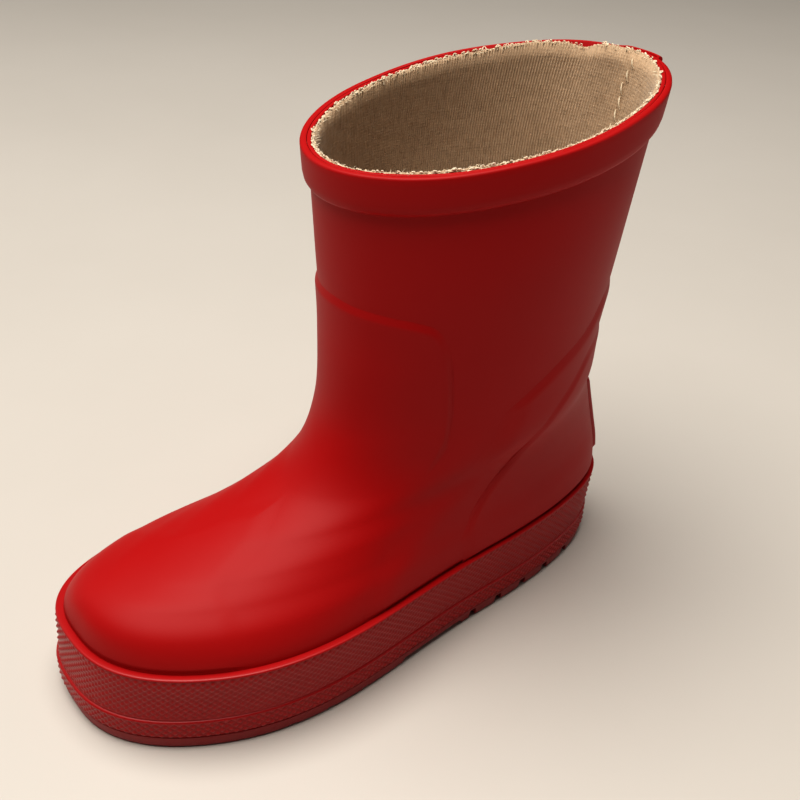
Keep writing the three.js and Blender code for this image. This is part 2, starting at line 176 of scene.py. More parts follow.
def station_values(level):
    """A station's values at any level, on a smooth curve through the stations."""
    level = np.clip(np.asarray(level, float), 0, LAST)
    i = np.clip(np.floor(level), 0, LAST - 1).astype(int)
    t = (level - i)[..., None]
    a, b, c, d = (STATIONS[np.clip(i + k, 0, LAST)] for k in (-1, 0, 1, 2))
    bend = (2 * a - 5 * b + 4 * c - d) * t**2 + (3 * b - a - 3 * c + d) * t**3
    return b + ((c - a) * t + bend) / 2


def surface(level, angle):
    """Points of the leg-and-foot surface. Angle 0 is the toe, pi the heel, up to pi on the outer side."""
    level, angle = np.broadcast_arrays(np.asarray(level, float), np.asarray(angle, float))
    values = np.moveaxis(station_values(level), -1, 0)
    front_y, front_z, back_y, back_z, ball, heel, roundness, narrow = values
    c, s = np.cos(angle), np.sin(angle)
    y = (front_y + back_y) / 2 - (back_y - front_y) / 2 * signed_power(c, roundness)
    along = (y - TOE_Y) / SOLE_LENGTH
    taper = ease((along - NARROW_START) / (NARROW_END - NARROW_START))
    half = mix(ball, heel, taper) * (1 - narrow * ((1 + c) / 2) ** 1.6)
    fade = clamp01(1 - (level - FOXING_LEVEL) / SWING_LEVELS)
    swing = TOE_SWING * clamp01(1 - along / SWING_END) ** 2 * fade
    x = half * signed_power(s, roundness) - swing
    z = mix(front_z, back_z, (y - front_y) / (back_y - front_y))
    return np.stack([x + ORIGIN_X, y + ORIGIN_Y, z], -1)


def inward(level, angle):
    """The surface's unit normal, pointing into the boot."""
    e = 0.02
    up = surface(np.minimum(LAST, level + e), angle) - surface(np.maximum(0, level - e), angle)
    round_it = surface(level, angle + e) - surface(level, angle - e)
    n = np.cross(up, round_it)
    return n / np.linalg.norm(n, axis=-1, keepdims=True)


def layer(level, angle, depth):
    """Points at a depth under the surface; a negative depth stands proud of it."""
    level, angle, depth = np.broadcast_arrays(
        np.asarray(level, float), np.asarray(angle, float), np.asarray(depth, float))
    return surface(level, angle) + inward(level, angle) * depth[..., None]


def at_height(points, z):
    """The same points at one height, or one height each."""
    flat = points.copy()
    flat[..., 2] = z
    return flat


def level_at_z(z):
    """The level, below the side band's top edge, that lies at a height."""
    return 2 * (np.asarray(z, float) - SKIN_FOOT) / (FOXING_TOP - SKIN_FOOT)


def even_angles(level, depth, count):
    """Angles that divide a ring into steps of equal length, and the ring's length."""
    fine = np.linspace(0, 2 * math.pi, 4001)
    ring = layer(level, fine, depth)
    steps = np.linalg.norm(np.diff(ring, axis=0), axis=1)
    run = np.concatenate([[0], np.cumsum(steps)])
    return np.interp(np.arange(count) / count * run[-1], run, fine), run[-1]


def wavy(angle, seed, terms=5, first=2):
    """A smooth uneven line round the boot, between about -1 and 1, as a hand-cut edge has."""
    rng = np.random.default_rng(seed)
    total = np.zeros_like(np.asarray(angle, float))
    for k in range(terms):
        size, turn = rng.uniform(0.4, 1.0), rng.uniform(0, 2 * math.pi)
        waves = math.floor(first + k * 1.7)
        total += size * np.sin(waves * angle + turn) / (1 + 0.35 * k)
    return total / 2.0


# ---- meshes

def grid_faces(rows, cols, wrap_rows=False, wrap_cols=False):
    """Quads of a grid of points, numbered row by row."""
    r = np.arange(rows if wrap_rows else rows - 1)
    c = np.arange(cols if wrap_cols else cols - 1)
    r, c = np.meshgrid(r, c, indexing="ij")
    r2, c2 = (r + 1) % rows, (c + 1) % cols
    quads = np.stack([r * cols + c, r * cols + c2, r2 * cols + c2, r2 * cols + c], -1)
    return quads.reshape(-1, 4)


def make_piece(name, points, faces, material, sharp=35, outward=True):
    """A mesh object from points in millimetres, smooth except across edges sharper than an angle."""
    mesh = bpy.data.meshes.new(name)
    places = (np.asarray(points).reshape(-1, 3) * MM).tolist()
    mesh.from_pydata(places, [], [list(map(int, face)) for face in faces])
    mesh.materials.append(material)
    if outward:
        face_out(mesh)
    mesh.shade_smooth()
    mesh.set_sharp_from_angle(angle=math.radians(sharp))
    piece = bpy.data.objects.new(name, mesh)
    bpy.context.scene.collection.objects.link(piece)
    return piece


def face_out(mesh):
    """Turns a closed mesh's faces outwards."""
    b = bmesh.new()
    b.from_mesh(mesh)
    bmesh.ops.recalc_face_normals(b, faces=b.faces)
    if b.calc_volume(signed=True) < 0:
        bmesh.ops.reverse_faces(b, faces=b.faces)
    b.to_mesh(mesh)
    b.free()


def hoop(name, rings, material, sharp=35):
    """A closed wall all round the boot, from a loop of rings."""
    rings = np.asarray(rings)
    faces = grid_faces(rings.shape[0], rings.shape[1], wrap_rows=True, wrap_cols=True)
    return make_piece(name, rings, faces, material, sharp)


def capped(sections):
    """Faces of a bar of closed sections, with a cap at both ends."""
    rows, cols = sections.shape[:2]
    faces = grid_faces(rows, cols, wrap_cols=True).tolist()
    half = cols // 2
    for start in (0, (rows - 1) * cols):
        for k in range(half - 1):
            faces.append([start + k, start + cols - 1 - k, start + cols - 2 - k, start + k + 1])
    return faces


def bar(name, sections, material, sharp=35):
    """A closed bar; each section is a run out along one side and back along the other."""
    sections = np.asarray(sections)
    return make_piece(name, sections, capped(sections), material, sharp)


def tubes(name, paths, radii, material, sides=5):
    """Many short round threads in one piece; each path has the same number of points."""
    paths = np.asarray(paths, float)
    count, steps = paths.shape[:2]
    along = np.gradient(paths, axis=1)
    along /= np.linalg.norm(along, axis=2, keepdims=True) + 1e-9
    helper = np.where(np.abs(along[..., 2:3]) < 0.8, [[[0.0, 0.0, 1.0]]], [[[1.0, 0.0, 0.0]]])
    side = np.cross(along, helper)
    side /= np.linalg.norm(side, axis=2, keepdims=True) + 1e-9
    other = np.cross(along, side)
    turn = np.arange(sides) * 2 * math.pi / sides
    ring = side[:, :, None] * np.cos(turn)[:, None] + other[:, :, None] * np.sin(turn)[:, None]
    points = paths[:, :, None] + ring * np.asarray(radii)[..., None, None]
    one = grid_faces(steps, sides, wrap_cols=True)
    faces = [f for k in range(count) for f in (one + k * steps * sides).tolist()]
    for k in range(count):
        start = k * steps * sides
        faces.append([start + j for j in range(sides)][::-1])
        faces.append([start + (steps - 1) * sides + j for j in range(sides)])
    return make_piece(name, points, faces, material, sharp=60)


def dress(piece, slot, *nodes, body="boot"):
    """Rides a piece on its body and lets it stand for its CAD nodes."""
    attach(piece, body)
    if nodes:
        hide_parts(*nodes)
    return piece


# ---- shader groups

def new_group(name, inputs, outputs):
    group = bpy.data.node_groups.new(name, "ShaderNodeTree")
    for label, kind, value in inputs:
        socket = group.interface.new_socket(label, in_out="INPUT", socket_type=kind)
        socket.default_value = value
    for label, kind in outputs:
        group.interface.new_socket(label, in_out="OUTPUT", socket_type=kind)
    return group


class Nodes:
    """Short names for adding and wiring nodes in one tree."""

    def __init__(self, tree):
        self.tree = tree

    def add(self, kind, inputs=None, **settings):
        node = self.tree.nodes.new(kind)
        for key, value in settings.items():
            setattr(node, key, value)
        for key, value in (inputs or {}).items():
            self.put(node.inputs[key], value)
        return node

    def put(self, socket, value):
        if isinstance(value, bpy.types.NodeSocket):
            self.tree.links.new(value, socket)
        else:
            socket.default_value = value

    def math(self, operation, a, b=0.0, c=0.0, clamp=False):
        node = self.add("ShaderNodeMath", operation=operation, use_clamp=clamp)
        for socket, value in zip(node.inputs, (a, b, c)):
            self.put(socket, value)
        return node.outputs[0]

    def noise(self, vector, scale, detail=3.0, rough=0.5):
        node = self.add("ShaderNodeTexNoise", {"Vector": vector, "Scale": scale, "Detail": detail,
                                               "Roughness": rough})
        return node.outputs["Fac"]

    def ramp(self, value, low, high):
        """0 below low, 1 above high, smooth between."""
        node = self.add("ShaderNodeMapRange", {"Value": value, "From Min": low, "From Max": high},
                        interpolation_type="SMOOTHSTEP")
        return node.outputs["Result"]

    def blend(self, share, a, b):
        node = self.add("ShaderNodeMix", data_type="RGBA")
        self.put(node.inputs[0], share)
        self.put(node.inputs[6], a)
        self.put(node.inputs[7], b)
        return node.outputs[2]


VECTOR, FLOAT, COLOR = "NodeSocketVector", "NodeSocketFloat", "NodeSocketColor"


def rubber_skin_group():
    """Soft mottling, a fine grain and a dusty bloom, as on matt natural rubber."""
    group = new_group(
        "rubber_skin",
        [("Position", VECTOR, (0, 0, 0)), ("Rubber", COLOR, (0.4, 0.01, 0.01, 1)),
         ("Bloom", COLOR, (0.5, 0.3, 0.28, 1)), ("Bloom amount", FLOAT, 0.1), ("Roughness", FLOAT, 0.42),
         ("Grain", FLOAT, 0.02)],
        [("Color", COLOR), ("Roughness", FLOAT), ("Height", FLOAT)])
    n = Nodes(group)
    given = n.add("NodeGroupInput").outputs
    patches = n.noise(given["Position"], 28.0, 3.0, 0.55)
    cloud = n.ramp(patches, 0.35, 0.75)
    dust = n.ramp(n.noise(given["Position"], 650.0, 4.0, 0.7), 0.45, 0.8)
    film = n.math("MULTIPLY", n.math("MULTIPLY_ADD", cloud, 0.7, 0.3), given["Bloom amount"])
    speck = n.math("MULTIPLY", dust, n.math("MULTIPLY", given["Bloom amount"], 0.5))
    share = n.math("ADD", film, speck, clamp=True)
    deeper = n.blend(n.math("MULTIPLY", cloud, 0.12), given["Rubber"], (0.30, 0.002, 0.003, 1))
    color = n.blend(share, deeper, given["Bloom"])
    rough = n.math("MULTIPLY_ADD", patches, 0.10, n.math("SUBTRACT", given["Roughness"], 0.05))
    fine = n.noise(given["Position"], 2600.0, 2.0, 0.6)
    slow = n.noise(given["Position"], 120.0, 2.0, 0.5)
    height = n.math("MULTIPLY_ADD", fine, given["Grain"], n.math("MULTIPLY", slow, 0.12))
    out = n.add("NodeGroupOutput")
    n.put(out.inputs["Color"], color)
    n.put(out.inputs["Roughness"], rough)
    n.put(out.inputs["Height"], height)
    return group


def woven_group():
    """A plain weave laid in the horizontal plane."""
    group = new_group(
        "plain_weave", [("Position", VECTOR, (0, 0, 0)), ("Threads per metre", FLOAT, 1200.0)],
        [("Height", FLOAT), ("Thread mask", FLOAT)])
    n = Nodes(group)
    given = n.add("NodeGroupInput").outputs
    split = n.add("ShaderNodeSeparateXYZ", {"Vector": given["Position"]}).outputs
    turns = n.math("MULTIPLY", given["Threads per metre"], math.pi)
    across = n.math("SINE", n.math("MULTIPLY", split["X"], turns))
    along = n.math("SINE", n.math("MULTIPLY", split["Y"], turns))
    over = n.math("MULTIPLY", across, along)
    uneven = n.noise(given["Position"], 900.0, 2.0, 0.6)
    height = n.math("MULTIPLY_ADD", over, 0.5, uneven)
    out = n.add("NodeGroupOutput")
    n.put(out.inputs["Height"], height)
    # the thread mask marks the raised threads; the cloth paints them lighter as a painted highlight
    n.put(out.inputs["Thread mask"], n.ramp(over, -0.6, 0.6))
    return group


GROUPS = {}


def make_groups():
    GROUPS["skin"] = rubber_skin_group()
    GROUPS["weave"] = woven_group()


def new_material(name, roughness=0.5, **constants):
    """A material with a Principled shader; constant sockets are set on the shader itself."""
    material = bpy.data.materials.new(name)
    material.use_nodes = True
    tree = material.node_tree
    tree.nodes.clear()
    n = Nodes(tree)
    shader = n.add("ShaderNodeBsdfPrincipled", {"Roughness": roughness})
    for key, value in constants.items():
        shader.inputs[key.replace("_", " ")].default_value = value
    out = n.add("ShaderNodeOutputMaterial")
    n.put(out.inputs["Surface"], shader.outputs[0])
    position = n.add("ShaderNodeTexCoord").outputs["Object"]
    return material, n, shader, position


def add_bump(n, shader, height, strength, distance):
    bump = n.add("ShaderNodeBump", {"Height": height, "Strength": strength, "Distance": distance})
    n.put(shader.inputs["Normal"], bump.outputs["Normal"])


def rubber(name, color, bloom, amount, roughness, grain, bump=0.0004, strength=0.25, **constants):
    """Natural rubber in one red, with its own bloom."""
    material, n, shader, position = new_material(name, roughness, **constants)
    skin = n.add("ShaderNodeGroup", node_tree=GROUPS["skin"])
    for key, value in (("Position", position), ("Rubber", color), ("Bloom", bloom), ("Bloom amount", amount),
                       ("Roughness", roughness), ("Grain", grain)):
        n.put(skin.inputs[key], value)
    n.put(shader.inputs["Base Color"], skin.outputs["Color"])
    n.put(shader.inputs["Roughness"], skin.outputs["Roughness"])
    add_bump(n, shader, skin.outputs["Height"], strength, bump)
    return material


RED = (0.385, 0.0024, 0.0030, 1)
DEEP_RED = (0.37, 0.0032, 0.0045, 1)
SOLE_RED = (0.27, 0.0035, 0.0055, 1)
DUST = (0.62, 0.30, 0.27, 1)


def boot_rubber():
    return rubber("boot_rubber", RED, DUST, 0.006, 0.52, 0.02, Specular_IOR_Level=0.18)


def foxing_rubber():
    return rubber("foxing_rubber", DEEP_RED, DUST, 0.006, 0.36, 0.10, Specular_IOR_Level=0.32)


def outsole_rubber():
    return rubber("outsole_rubber", SOLE_RED, DUST, 0.03, 0.55, 0.10, Specular_IOR_Level=0.4)


def label_rubber():
    return rubber("label_rubber", DEEP_RED, DUST, 0.02, 0.5, 0.05, Specular_IOR_Level=0.4)


def knit_material():
    """Beige ribbed cotton knit: loops along each rib, pulled stitches darkened with painted shade, and lint.
    """
    material, n, shader, position = new_material("ribbed_knit", 0.95, Sheen_Weight=0.25, Sheen_Roughness=0.6)
    streak = n.add("ShaderNodeMapping", {"Vector": position, "Scale": (1.0, 1.0, 0.22)}).outputs[0]
    pulled_stitch_shade = n.ramp(n.noise(streak, 1100.0, 4.0, 0.75), 0.45, 0.70)
    lint = n.ramp(n.noise(position, 1500.0, 3.0, 0.75), 0.60, 0.74)
    slow = n.noise(position, 60.0, 3.0, 0.6)
    yarn = n.blend(slow, (0.46, 0.31, 0.185, 1), (0.57, 0.40, 0.25, 1))
    # the pulled stitches are painted darker: painted shade in the gaps they open between the loops
    shaded = n.blend(n.math("MULTIPLY", pulled_stitch_shade, 0.45), yarn, (0.30, 0.19, 0.10, 1))
    color = n.blend(n.math("MULTIPLY", lint, 0.5), shaded, (0.82, 0.66, 0.46, 1))
    n.put(shader.inputs["Base Color"], color)
    split = n.add("ShaderNodeSeparateXYZ", {"Vector": position}).outputs
    course = n.math("SINE", n.math("MULTIPLY", split["Z"], 2 * math.pi * 1100.0))
    lumps = n.noise(position, 380.0, 4.0, 0.65)
    hairs = n.noise(streak, 1400.0, 3.0, 0.7)
    slubs = n.math("MULTIPLY_ADD", lumps, 1.6, hairs)
    height = n.math("MULTIPLY_ADD", course, 0.05, slubs)
    add_bump(n, shader, height, 0.6, 0.0004)
    return material


def thread_material(name, light, dark):
    """Twisted cotton thread."""
    material, n, shader, position = new_material(name, 0.95, Sheen_Weight=0.3, Sheen_Roughness=0.6)
    uneven = n.noise(position, 1200.0, 3.0, 0.7)
    n.put(shader.inputs["Base Color"], n.blend(n.ramp(uneven, 0.35, 0.65), dark, light))
    add_bump(n, shader, n.noise(position, 4000.0, 2.0, 0.6), 0.5, 0.0002)
    return material


def woven_material(name, light, dark, threads):
    """Plain-woven cloth, its raised threads painted lighter as a painted highlight."""
    material, n, shader, position = new_material(name, 0.92, Sheen_Weight=0.2, Sheen_Roughness=0.6)
    weave = n.add("ShaderNodeGroup", node_tree=GROUPS["weave"])
    n.put(weave.inputs["Position"], position)
    n.put(weave.inputs["Threads per metre"], threads)
    tone = n.blend(n.noise(position, 90.0, 3.0, 0.6), dark, light)
    # raised threads are painted lighter: a painted highlight on the thread tops
    raised_thread_highlight = n.math("MULTIPLY", weave.outputs["Thread mask"], 0.5)
    n.put(shader.inputs["Base Color"], n.blend(raised_thread_highlight, tone, light))
    add_bump(n, shader, weave.outputs["Height"], 0.7, 0.0003)
    return material


def foam_material(name, light, dark, cells):
    """Open-cell foam or sponge, its pores painted darker as painted shade."""
    material, n, shader, position = new_material(name, 0.9)
    cell = n.add("ShaderNodeTexVoronoi", {"Vector": position, "Scale": cells}, feature="F1")
    hole = n.ramp(cell.outputs["Distance"], 0.15, 0.55)
    # the pores take the dark colour: painted shade in the holes
    n.put(shader.inputs["Base Color"], n.blend(hole, dark, light))
    add_bump(n, shader, hole, 0.8, 0.0004)
    return material


def board_material():
    """Pressed fibre board, speckled."""
    material, n, shader, position = new_material("fibre_board", 0.85)
    flecks = n.ramp(n.noise(position, 1100.0, 3.0, 0.8), 0.55, 0.72)
    tone = n.blend(n.noise(position, 45.0, 2.0, 0.5), (0.36, 0.24, 0.13, 1), (0.46, 0.33, 0.19, 1))
    n.put(shader.inputs["Base Color"], n.blend(n.math("MULTIPLY", flecks, 0.7), tone, (0.20, 0.12, 0.06, 1)))
    add_bump(n, shader, flecks, 0.5, 0.0002)
    return material


def floor_material():
    material, n, shader, position = new_material("pale_floor", 0.45)
    tone = n.blend(n.noise(position, 6.0, 4.0, 0.6), (0.56, 0.525, 0.475, 1), (0.61, 0.575, 0.525, 1))
    n.put(shader.inputs["Base Color"], tone)
    add_bump(n, shader, n.noise(position, 300.0, 3.0, 0.6), 0.05, 0.0005)
    return material


# ---- the rubber skin and the plies laid on it

AROUND = 288
RIM_THICKNESS = 1.05
RIM_ROUND = 0.35
RIM_UNEVEN = 0.35
RIM_STEPS = 4
WALL_ROWS = 112
INNER_ROWS = 16
BAND_ROWS = 8
MARGIN = 12.0                    # how far the rubber and the knit are turned in under the foot
LEVEL_HEIGHT = 27.0              # millimetres of wall in one level near the top


def rim_rise(angle):
    """How uneven the hand-cut top edge is, in millimetres of height."""
    return RIM_UNEVEN * wavy(angle, seed=11)


def top_edge(angle, depth, drop):
    """Points near the top edge, a drop below it down the wall."""
    p = layer(LAST - drop / LEVEL_HEIGHT, angle, depth)
    p[..., 2] += rim_rise(angle)
    return p


def skin_piece(material):
    angles = np.linspace(0, 2 * math.pi, AROUND, endpoint=False)
    rise = rim_rise(angles)
    rings = [at_height(layer(0, angles, MARGIN), SKIN_FOOT)]
    for k in range(BAND_ROWS):
        z = mix(SKIN_FOOT, FOXING_TOP, k / BAND_ROWS)
        rings.append(layer(level_at_z(z), angles, 0.0))
    levels = np.linspace(FOXING_LEVEL, LAST, WALL_ROWS)
    for level in levels[:-1]:
        ring = layer(level, angles, 0.0)
        ring[..., 2] += rise * clamp01(level - LAST + 1)
        rings.append(ring)
    for turn in np.linspace(0, math.pi / 2, RIM_STEPS):
        depth = RIM_ROUND * (1 - math.cos(turn))
        rings.append(top_edge(angles, depth, RIM_ROUND * (1 - math.sin(turn))))
    for turn in np.linspace(math.pi / 2, 0, RIM_STEPS):
        depth = RIM_THICKNESS - RIM_ROUND * (1 - math.cos(turn))
        rings.append(top_edge(angles, depth, RIM_ROUND * (1 - math.sin(turn))))
    for level in np.linspace(LAST - 0.3, FOXING_LEVEL, INNER_ROWS):
        thickness = mix(RIM_THICKNESS, RUBBER, clamp01((LAST - level) / 1.5))
        rings.append(layer(level, angles, thickness))
    rings.append(layer(1, angles, RUBBER))
    rings.append(at_height(layer(0, angles, RUBBER), SKIN_FOOT + RUBBER))
    rings.append(at_height(layer(0, angles, MARGIN), SKIN_FOOT + RUBBER))
    return hoop("rubber_upper", rings, material)


CORNER_ROUNDING = 2.5            # degrees to each side that a corner is rounded over


def edge_through(middle, *corners):
    """A ply's edge, from [degrees off the toe or the heel, level] corners, with its corners rounded."""
    degrees = np.array([c[0] for c in corners], float)
    levels = np.array([c[1] for c in corners], float)

    def edge(angle):
        total = 0.0
        window = np.radians(np.linspace(-CORNER_ROUNDING, CORNER_ROUNDING, 7))
        for shift in window:
            off = np.degrees(np.abs(np.asarray(angle) + shift - middle))
            total = total + np.interp(off, degrees, levels)
        return total / len(window)

    return edge


def level_line(level):
    return lambda angle: np.full_like(np.asarray(angle, float), level)


PLY_FOOT = FOXING_LEVEL + 0.06
PLY = 0.75                       # how far a ply stands out
SUNK = 0.12                      # how far its underside is pressed into what it lies on
PLY_LIP = 0.015                  # what is left of its thickness at the very edge


def distance_to(points, line):
    """Distance from each point to the nearest of a line's points."""
    flat = points.reshape(-1, 3)
    best = np.full(len(flat), 1e9)
    for p in line:
        best = np.minimum(best, np.linalg.norm(flat - p, axis=1))
    return best.reshape(points.shape[:-1])


def finer(line):
    """A line's points with two more in each gap."""
    return np.concatenate([mix(line[:-1], line[1:], k / 3) for k in range(3)] + [line[-1:]])


def feather(distance, width):
    """A ply's thickness near its edge, 0 to 1, rising softly from what it lies on."""
    return ease(distance / width)


def ply_piece(name, material, middle, half_width, low, high, *, width, base=0.0, thick=PLY,
              side_width=None, foot_width=1.2, cols=121, rows=90):
    """A reinforcement ply between two edges, its edges rolled down softly over their own widths."""
    angles = np.linspace(middle - half_width, middle + half_width, cols)
    low_edge, high_edge = low(angles), high(angles)
    t = np.linspace(0, 1, rows)[None, :]
    levels = mix(low_edge[:, None], high_edge[:, None], t)
    on_skin = layer(levels, angles[:, None], 0.0)
    top_line, foot_line = finer(on_skin[:, -1]), finer(on_skin[:, 0])
    sides = np.concatenate([finer(on_skin[0]), finer(on_skin[-1])])
    rise = feather(distance_to(on_skin, top_line), width)
    rise = np.minimum(rise, feather(distance_to(on_skin, foot_line), foot_width))
    rise = np.minimum(rise, feather(distance_to(on_skin, sides), side_width or width))
    outer = layer(levels, angles[:, None], -(base + PLY_LIP + thick * rise))
    inner = layer(levels, angles[:, None], -(base - SUNK))
    sections = np.concatenate([outer, inner[:, ::-1]], axis=1)
    return bar(name, sections, material, sharp=60)


def ply_pieces(material):
    rad = math.radians
    foot = level_line(PLY_FOOT)
    # most corners of these edges came from a program and were rounded, not chosen by hand
    outer_edge = edge_through(
        BACK, (0, 8.85), (54, 8.75), (64, 8.5), (80, 8.35), (92, 8.15), (100, 7.95), (108, 7.5))
    inner_edge = edge_through(
        BACK, (0, 8.2), (58, 8.0), (73, 7.3), (78, 6.4), (79.5, 4.6), (83, 3.4), (87, 2.5))
    instep_edge = edge_through(
        TOE, (0, 9.66), (22, 9.62), (36, 9.56), (45, 9.48), (50, 9.3), (53, 9.0), (57, 8.4), (63, 7.5))
    toe_edge = edge_through(TOE, (0, 6.95), (29, 5.93), (51, 3.73), (53, 2.9), (57, 2.4))
    dress(ply_piece("heel_counter_ply", material, BACK, rad(100), foot, outer_edge, width=3.2, side_width=9.0,
                    cols=181), "boot_rubber", "heel_counter_outer")
    dress(ply_piece("inner_counter_ply", material, BACK, rad(84), foot, inner_edge, base=PLY, thick=0.6,
                    width=3.4, side_width=6.0, cols=161), "boot_rubber", "heel_counter_inner")
    dress(ply_piece("instep_ply", material, TOE, rad(62), level_line(6.9), instep_edge, width=2.2,
                    side_width=3.0, foot_width=16.0), "boot_rubber", "instep_reinforcement")
    dress(ply_piece("toe_ply", material, TOE, rad(56), foot, toe_edge, thick=0.4, width=7.0),
          "boot_rubber", "toe_reinforcement")


# ---- side bands

DIAMOND_WIDTH = 2.5
DIAMOND_HEIGHT = 2.06
KNURL_STEPS = 6
KNURL_RELIEF = 0.58


def knurl(u, v):
    """Height of the diamond texture, 0 in the grooves to 1 on the diamonds."""
    def ridge(t):
        return 1 - np.abs(2 * (t - np.floor(t)) - 1)

    a = ridge(u + v)
    b = ridge(u - v)
    return np.minimum(1, 1.25 * np.minimum(a, b)) ** 0.8


def knurled_columns(level, depth):
    """Angles of the band's columns, and each one's place counted in diamonds."""
    _, length = even_angles(level, depth, 8)
    diamonds = round(length / DIAMOND_WIDTH)
    angles, _ = even_angles(level, depth, diamonds * KNURL_STEPS)
    return angles, np.arange(diamonds * KNURL_STEPS) / KNURL_STEPS


def band(name, material, profile, ring_at, depth):
    """A textured band. The profile is a loop of (height, standing out, texture share)."""
    angles, u = knurled_columns(1.0, depth)
    rings = []
    for z, out, share in profile:
        relief = KNURL_RELIEF * share * (knurl(u, z / DIAMOND_HEIGHT) - 1)
        rings.append(ring_at(z, angles, -(out + relief)))
    return hoop(name, rings, material, sharp=50)


def upper_band_piece(material):
    foot, head = UPPER_BAND_BOX[0][2], UPPER_BAND_BOX[1][2]
    out, lip = GAP + FOXING, 0.6
    rows = np.arange(foot + 0.7, head - lip - 0.1, DIAMOND_HEIGHT / KNURL_STEPS)
    profile = [(foot, 0.05, 0), (foot, out - 0.45, 0), (foot + 0.12, out - 0.18, 0),
               (foot + 0.35, out - 0.05, 0.5)]
    profile += [(z, out, 1) for z in rows]
    profile += [(head - lip, out - 0.1, 0.5), (head - 0.42, out + 0.02, 0), (head - 0.2, out - 0.02, 0),
                (head - 0.04, out - 0.22, 0), (head, out - 0.5, 0), (head - 0.02, out - 1.2, 0),
                (head - 0.15, 0.05, 0)]

    def ring_at(z, angles, depth):
        return at_height(layer(level_at_z(z), angles, depth), z)

    return band("upper_side_band", material, profile, ring_at, -2.3)


def lower_band_piece(material):
    foot, head = LOWER_BAND_BOX[0][2], LOWER_BAND_BOX[1][2]
    out = GAP + FOXING + 0.5
    rows = np.arange(foot + 0.35, head - 0.7, DIAMOND_HEIGHT / KNURL_STEPS)
    profile = [(foot, 0.05, 0), (foot, out - 0.5, 0), (foot + 0.15, out - 0.15, 0.5)]
    profile += [(z, out, 1) for z in rows]
    profile += [(head - 0.5, out - 0.05, 0.4), (head - 0.25, out - 0.1, 0), (head + 0.05, out - 0.35, 0),
                (head + 0.22, out - 0.6, 0), (head + 0.22, 0.05, 0)]

    def ring_at(z, angles, depth):
        return at_height(layer(0, angles, depth), z)

    return band("lower_side_band", material, profile, ring_at, -2.5)


# ---- outsole

EDGE_HEIGHT = 4.2
TREAD_DEPTH = 3.2
GROOVE = 3.4
HEEL_TREAD = 65.0
HEEL_PITCH = 11.0
SOLE_PITCH = 12.0
SOLE_BORDER = 14.0
WAIST = 32.0
WAIST_RISE = 1.9
SOLE_RIM = 8.0                   # how far the moulded rim goes in before the flat faces
TOE_NARROWER = 16.0              # the most that a groove is shortened towards the toe
NICKED_ROWS = 6
NICK_LENGTH = 9.0
NICK_DEPTH = 0.9


def outsole_body():
    """The outsole before its tread is cut: plain rounded edge, ledge under the bands, solid top."""
    angles, _ = even_angles(0, 0, 300)
    out = GAP + FOXING
    profile = [(0, SOLE_RIM), (0, -(out - 1.35)), (0.12, -(out - 0.95)), (0.45, -(out - 0.6)),
               (1.2, -(out - 0.4)), (2.6, -(out - 0.22)), (EDGE_HEIGHT - 0.25, -(out - 0.05)),
               (EDGE_HEIGHT, -(out - 0.3)), (EDGE_HEIGHT, 0.0), (OUTSOLE_TOP, 0.0), (OUTSOLE_TOP, SOLE_RIM)]
    rings = np.array([at_height(layer(0, angles, depth), z) for z, depth in profile])
    points = rings.reshape(-1, 3)
    n = len(angles)
    faces = grid_faces(len(profile), n, wrap_cols=True).tolist()
    faces.append(list(range(n)))
    faces.append(list(range((len(profile) - 1) * n, len(profile) * n)))
    mesh = bpy.data.meshes.new("outsole_body")
    mesh.from_pydata(points.tolist(), [], faces)
    face_out(mesh)
    return mesh


def groove_cutter(b, x, y, length, width, depth, draft=0.7, turn=0.0):
    """Adds a bar with sloping sides, to cut a groove from the underside."""
    corners = []
    for z, grow in ((-1.0, draft * 0.35), (0.0, 0.0), (depth, -draft)):
        for sx, sy in ((-1, -1), (1, -1), (1, 1), (-1, 1)):
            dx, dy = sx * (length / 2 + grow), sy * (width / 2 + grow * 0.7)
            c, s = math.cos(turn), math.sin(turn)
            corners.append(b.verts.new((x + dx * c - dy * s, y + dx * s + dy * c, z)))
    b.faces.new(corners[3::-1])
    b.faces.new(corners[8:])
    for low in (0, 4):
        for k in range(4):
            m = (k + 1) % 4
            b.faces.new((corners[low + k], corners[low + m], corners[low + 4 + m], corners[low + 4 + k]))


def tread_cutters():
    b = bmesh.new()
    across = BALL_WIDTH * 2
    heel_front = ORIGIN_Y + HEEL_Y - HEEL_TREAD
    y = heel_front
    while y < ORIGIN_Y + HEEL_Y - HEEL_PITCH:
        groove_cutter(b, 0, y, across, GROOVE, TREAD_DEPTH)
        y += HEEL_PITCH
    groove_cutter(b, 0, heel_front - WAIST / 2 - 1.0, across, WAIST - 6.0, WAIST_RISE, draft=2.0)
    y = heel_front - WAIST - SOLE_PITCH / 2
    row = 0
    while y > ORIGIN_Y + TOE_Y + SOLE_PITCH * 0.8:
        share = clamp01((heel_front - WAIST - y) / SOLE_LENGTH)
        narrower = TOE_NARROWER * clamp01((ORIGIN_Y + TOE_Y + 30 - y) / 24)
        length = BALL_WIDTH - 2 * SOLE_BORDER - narrower
        groove_cutter(b, -TOE_SWING * share * 1.6, y, length, GROOVE, TREAD_DEPTH)
        for side in (-1, 1):
            edge_x = side * (BALL_WIDTH / 2 - 1.0) - TOE_SWING * share
            if row < NICKED_ROWS:
                groove_cutter(b, edge_x, y - SOLE_PITCH / 2, NICK_LENGTH, GROOVE * 0.8, NICK_DEPTH, draft=0.4)
        y -= SOLE_PITCH
        row += 1
    mesh = bpy.data.meshes.new("tread_cutters")
    bmesh.ops.recalc_face_normals(b, faces=b.faces)
    b.to_mesh(mesh)
    b.free()
    return mesh


